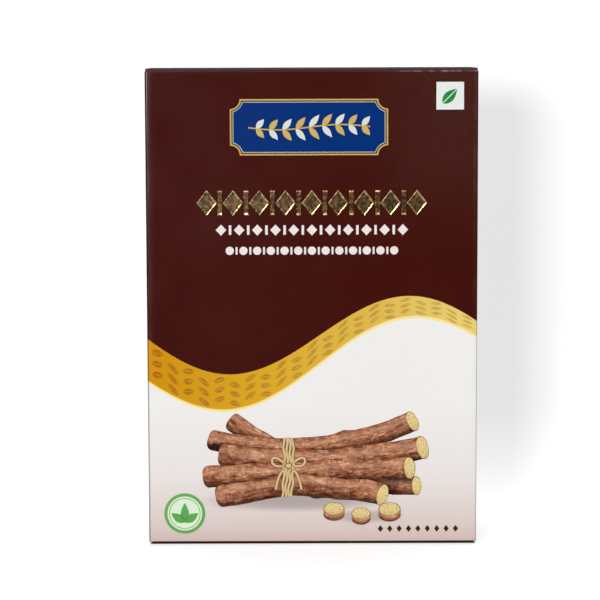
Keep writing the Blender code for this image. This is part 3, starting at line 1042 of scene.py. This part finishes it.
for x0, z0, z_tie, x1, z1, _ in STICKS:
    curve = np.polyfit((x0, TIE_X, x1), (z0, z_tie, z1), 2)
    centre_lines.append([(x, float(np.polyval(curve, x)) + 0.9 * noise.noise((x * 0.06, z0, 1.7)))
                         for x in x0 + (x1 - x0) * np.linspace(0, 1, BARK_ROWS) ** 1.4])
for number, line in enumerate(centre_lines):
    over = [(other, STICKS[k][5]) for k, other in enumerate(centre_lines) if k > number]
    radius = STICKS[number][5]
    end, way, off = pictured_stick(line, radius, 1 + number, 3.7 * number + 1.3, over)
    pictured_end(end, way, off, radius * 0.52, radius * 1.03, 1.5 + number, 5.1 * number)
for number, (x, z, radius) in enumerate(SLICES):
    turns = np.linspace(math.pi, 2 * math.pi, 22)
    rim = [[(x + radius * math.cos(t), z + radius * SLICE_TILT * math.sin(t) - drop) for t in turns]
           for drop in (2.0, 1.2, 0.5, -0.4)]
    grains = [[(radius * t, across, 9.0 + number) for t in turns] for across in (-0.9, -0.3, 0.3, 0.5)]
    roots_print.grid(rim, [[BLACK] * 22] * 4, 7 + number, grains)
    pictured_end(Vector((x, z)), Vector((1, 0)), Vector((0, -1)), radius, radius * SLICE_TILT,
                 7.5 + number, 2.3 * number)
roots_print.lay(pictured_bark(), pictured_cut())

# The rest of the small print, in flat inks: a square with a leaf at the upper right, a ring seal with three
# leaves at the lower left, and the twine of the bundle, which lies over the picture's layers.
SQUARE_X, SQUARE_Z, SQUARE_SIDE = 43.0, 152.2, 9.5
SEAL_X, SEAL_Z, SEAL = -44.9, 11.0, 7.2
TWINE_LEFT, TWINE_PITCH, TWINE_FOOT, TWINE_TALL = TIE_X - 1.6, 1.05, 16.9, 21.0
TWINE, TWINE_EDGE = tone(218, 188, 138), tone(112, 78, 46)
KNOT_X, KNOT_Z = TIE_X + 0.6, 28.0
small_print = Print("small_marks")
corners = ((0, 0), (1, 0), (1, 1), (0, 1))
square = [(SQUARE_X + a * SQUARE_SIDE, SQUARE_Z + b * SQUARE_SIDE) for a, b in corners]
small_print.shape(square, tone(232, 236, 232), 1)
small_print.shape(leaf(SQUARE_X + 2, SQUARE_Z + 2, 7.4, 3.6, math.radians(45)), tone(38, 138, 66), 2)
vein = [(SQUARE_X + along, SQUARE_Z + along) for along in (1.6, 7.6)]
strip(vein, 0.35, tone(214, 234, 216), small_print, 3, end_width=0.25)
small_print.shape(ring(SEAL_X, SEAL_Z, SEAL, SEAL), tone(222, 238, 212), 1)
for outer, inner in ((SEAL, SEAL - 1.1), (SEAL - 1.7, SEAL - 1.95)):
    rims = [ring(SEAL_X, SEAL_Z, radius, radius) for radius in (outer, inner)]
    small_print.band(*rims, tone(104, 172, 88), 2)
for turn in (90, 35, 145):
    outline = leaf(SEAL_X, SEAL_Z - 3.2, 7.0 - abs(turn - 90) * 0.022, 2.9, math.radians(turn))
    small_print.shape(outline, tone(96, 170, 86), 3)
cords = []
for number in range(4):
    cord = []
    for s in np.linspace(0, 1, 30):
        x = TWINE_LEFT + number * TWINE_PITCH + 0.7 * math.sin(2.4 * s) + 0.25 * math.sin(21 * s + number)
        cord.append((x, TWINE_FOOT + TWINE_TALL * s))
    cords.append(cord)
for hand in (-1, 1):
    turns = [(1 - math.cos(turn), math.sin(turn)) for turn in np.linspace(0, 2 * math.pi, 30)]
    cords.append([(KNOT_X + hand * 2.9 * out, KNOT_Z + out * (1.1 * s + 0.9)) for out, s in turns])
    cords.append([(KNOT_X + hand * (4.4 * s + 0.8 * math.sin(3 * s)), KNOT_Z - 8.5 * s ** 1.4)
                  for s in np.linspace(0, 1, 20)])
for cord in cords:
    strip(cord, 1.2, TWINE_EDGE, small_print, 7)
    strip(cord, 0.75, TWINE, small_print, 8)
small_print.shape(ring(KNOT_X, KNOT_Z, 1.3, 1.1, 16), TWINE_EDGE, 9)
small_print.shape(ring(KNOT_X, KNOT_Z, 1.0, 0.8, 16), TWINE, 10)
small_print.lay()

# The print on the back and on the lid, which the photo doesn't show. The back has the ribbon and its leaves
# under a cream panel with thin rules and a sprig, and the lid has a gold keyline round a plain field.
SPRIG_LEVEL = 103.5
RULE_TOP, RULE_PITCH = 137.0, 4.6
GOLD_LINE = tone(196, 158, 84)
KEYLINE_HALF_X, KEYLINE_HALF_Y, KEYLINE_SHIFT, KEYLINE = 50.0, 13.0, 0.5, 0.7
back_leaves = grown("ribbon_leaves_back", leaves, Side=1.0, Finish=leaf_ink)
back_leaves.data.flip_normals()
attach(back_leaves, "carton")
back_print = Print("back_print", 1)
sizes = (0.0, 122.0, 41.0, 25.0, 4.5)
back_print.shape(ticket(*sizes), tone(202, 168, 92), 1)
back_print.shape(ticket(*sizes, 0.6), tone(238, 232, 216), 2)
for number in range(7):
    z = RULE_TOP - RULE_PITCH * number
    half = 31.0 if number % 3 < 2 else 24.0
    strip([(-half, z), (half, z)], 0.45, tone(120, 88, 62), back_print, 3)
for number in range(13):
    for sign in (1, -1):
        outline = leaf(3.4 * (number - 6), SPRIG_LEVEL, 3.6, 1.5, sign * math.radians(52))
        back_print.shape(outline, tone(92, 140, 78) if number % 2 else GOLD_LINE, 4)
strip([(-22.0, SPRIG_LEVEL), (22.0, SPRIG_LEVEL)], 0.4, GOLD_LINE, back_print, 3)
back_print.lay()
keyline = []
for inset in (0.0, KEYLINE):
    for x, y in ((-1, -1), (1, -1), (1, 1), (-1, 1)):
        level = y * (KEYLINE_HALF_Y - inset) + KEYLINE_SHIFT
        keyline.append((x * (KEYLINE_HALF_X - inset), level, TALL + LAYER))
keyline_faces = [(i, (i + 1) % 4, 4 + (i + 1) % 4, 4 + i) for i in range(4)]
lid_keyline = piece("lid_keyline", keyline, keyline_faces, [solid_ink("gold_ink", tone(206, 166, 80))])
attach(lid_keyline, "lid")

# The bag. It is a clear film bag, crumpled round the sticks and open at a ragged mouth. In the carton it
# stands loose, pressed against the walls.
pouch_low, pouch_high = span("pouch")
FILM = 0.12
MOUTH_DROP = 2.0


def film_finish():
    made, flow, join = start_finish("clear_film", IOR=1.5, Roughness=0.07, Alpha=0.22)
    place = in_mm(flow)
    join(grain(place, 0.12, 3).mix(tone(222, 226, 228), tone(240, 242, 243)), "Base Color")
    join(bump(grain(stretched(place, 1, 1, 0.5), 0.35, 4, 0.6), 0.6, 0.8), "Normal")
    return made


def tube_faces(around, levels):
    """The faces of a tube whose points run round it, level by level."""
    faces = []
    for row in range(levels):
        for step in range(around):
            a, b = row * around + step, row * around + (step + 1) % around
            faces.append((a, b, b + around, a + around))
    return faces


def crumple(x, y, z):
    """How deep the film's folds are at a place: broad ones, with finer ones on them."""
    broad = abs(noise.noise((x * 0.07, y * 0.12, z * 0.03)))
    fine = 0.5 * abs(noise.noise((x * 0.2, y * 0.25, z * 0.11)))
    return broad + fine + 0.22 * abs(noise.noise((x * 0.5, y * 0.5, z * 0.3)))


def film_bag():
    around, levels = 168, 72
    half_x, half_y, top = pouch_high
    foot = pouch_low[2]
    points = []
    for row in range(levels + 1):
        rise = row / levels
        for step in range(around):
            turn = 2 * math.pi * step / around
            c, s = math.cos(turn), math.sin(turn)
            power = 0.16 + 0.1 * (1 - rise)
            x = math.copysign(abs(c) ** power, c) * half_x
            y = math.copysign(abs(s) ** power, s) * half_y
            z = foot + rise * (top - MOUTH_DROP - foot)
            inward = 0.2 + 2.6 * crumple(x, y, z) * (0.5 + rise)
            mouth = rise ** 6 * (1.2 * math.sin(turn * 9) + 0.8 * math.sin(turn * 23 + 1))
            points.append((x - c * inward, y - s * inward, z + mouth))
    middle = len(points)
    points.append((0.0, 0.0, foot + 0.2))
    faces = tube_faces(around, levels) + [(middle, (step + 1) % around, step) for step in range(around)]
    made = piece("film_bag", points, faces, [film_finish()])
    wall = made.modifiers.new("wall", "SOLIDIFY")
    wall.thickness = FILM * MM
    wall.offset = -1
    made.data.shade_smooth()
    return made


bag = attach(film_bag(), "carton")
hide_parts("pouch")

# The root sticks. They are dried lengths of root, sawn off square: furrowed brown bark with rings and scars,
# and pale yellow wood with rays at the ends. They stand in the bag, leaning on each other.
AROUND = 30
ALONG = 66
END_RING = 0.55
END_DENT = 0.25


def bark_finish():
    made, flow, join = start_finish("root_bark", Roughness=0.82)
    place = in_mm(flow)
    furrows = grain(stretched(place, 1, 1, 0.14), 0.85, 5, 0.65)
    scars = grain(stretched(place, 0.4, 0.4, 1.6), 0.5, 3, 0.6)
    colour = (furrows * 0.75 + scars * 0.25).ramp((0.3, (70, 42, 28)), (0.45, (122, 82, 56)),
                                                  (0.58, (156, 112, 80)), (0.75, (196, 158, 120)))
    colour = (scars.rise(0.58, 0.68) * 0.6).mix(colour, tone(86, 54, 38))
    join(colour, "Base Color")
    join(bump(furrows, 0.8, 0.5), "Normal")
    return made


def wood_finish():
    """Sawn ends: the rays are read from the stick's own UV map, whose middle is the stick's heart."""
    made, flow, join = start_finish("root_wood", Roughness=0.75)
    x, y, _ = flow.node("ShaderNodeUVMap", {"uv_map": "end"}).parts()
    spoke, out = spokes(x, y, 3.0, 1.5)
    rays = grain(spoke, 2.2, 4)
    colour = rays.ramp((0.3, (186, 146, 86)), (0.5, (222, 192, 128)), (0.75, (240, 220, 164)))
    colour = out.rise(0.8, 0.98).mix(colour, tone(128, 84, 52))
    join(colour, "Base Color")
    join(bump(rays, 0.6, 0.3), "Normal")
    return made


root_bark = bark_finish()
root_wood = wood_finish()


def axis_of(node):
    """Where a CAD stick's middle runs and how thick it is, as curves of the share of its height."""
    points = np.array([vertex.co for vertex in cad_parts[node].data.vertices]) / MM
    low, high = points[:, 2].min(), points[:, 2].max()
    share = (points[:, 2] - low) / (high - low)
    middle_x = np.poly1d(np.polyfit(share, points[:, 0], 3))
    middle_y = np.poly1d(np.polyfit(share, points[:, 1], 3))
    reach = np.hypot(points[:, 0] - middle_x(share), points[:, 1] - middle_y(share))
    rim = reach > 0.6 * reach.max()
    return low, high, middle_x, middle_y, np.poly1d(np.polyfit(share[rim], reach[rim], 4))


def root_stick(number, node):
    """A stick that follows a CAD one: its bark, and two sawn ends, each with a ring between rim and heart."""
    low, high, middle_x, middle_y, thick = axis_of(node)
    seed = 7.3 * number
    points = []
    for row in range(ALONG + 1):
        share = row / ALONG
        z = low + share * (high - low)
        for step in range(AROUND):
            turn = 2 * math.pi * step / AROUND
            c, s = math.cos(turn), math.sin(turn)
            furrow = noise.noise((c * 2.6, s * 2.6 + seed, share * 2.2))
            fine = abs(noise.noise((c * 6.5, s * 6.5 + seed, share * 5)))
            ring_mark = max(0.0, noise.noise((seed, share * 26, c * 0.6)) - 0.25)
            radius = thick(share) * (0.955 + 0.05 * furrow - 0.09 * fine - 0.12 * ring_mark)
            points.append((middle_x(share) + c * radius, middle_y(share) + s * radius, z))
    faces = tube_faces(AROUND, ALONG)
    kinds = [0] * len(faces)
    for row, share, lift in ((0, 0.0, 1), (ALONG, 1.0, -1)):
        first = len(points)
        heart_x, heart_y = middle_x(share), middle_y(share)
        for step in range(AROUND):
            x, y, z = points[row * AROUND + step]
            dent = lift * END_DENT * noise.noise((x, y, seed))
            points.append((heart_x + (x - heart_x) * END_RING, heart_y + (y - heart_y) * END_RING, z + dent))
        points.append((heart_x, heart_y, points[-1][2]))
        for step in range(AROUND):
            a, b = row * AROUND + step, row * AROUND + (step + 1) % AROUND
            c, d = first + step, first + (step + 1) % AROUND
            heart = first + AROUND
            faces += [(a, c, d, b), (c, heart, d)] if row == 0 else [(a, b, d, c), (c, d, heart)]
            kinds += [1, 1]
    made = piece(f"stick_{number:02d}", points, faces, (root_bark, root_wood), kinds)
    ends = made.data.uv_layers.new(name="end")
    hearts = [(middle_x(end), middle_y(end), thick(end)) for end in (0, 1)]
    for loop in made.data.loops:
        x, y, z = points[loop.vertex_index]
        heart_x, heart_y, radius = hearts[int(z > (low + high) / 2)]
        ends.data[loop.index].uv = ((x - heart_x) / radius, (y - heart_y) / radius)
    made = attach(smooth_off(made, 50), "carton")
    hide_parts(node)


for number, node in enumerate(sorted(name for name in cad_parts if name.startswith("root_")), 1):
    root_stick(number, node)
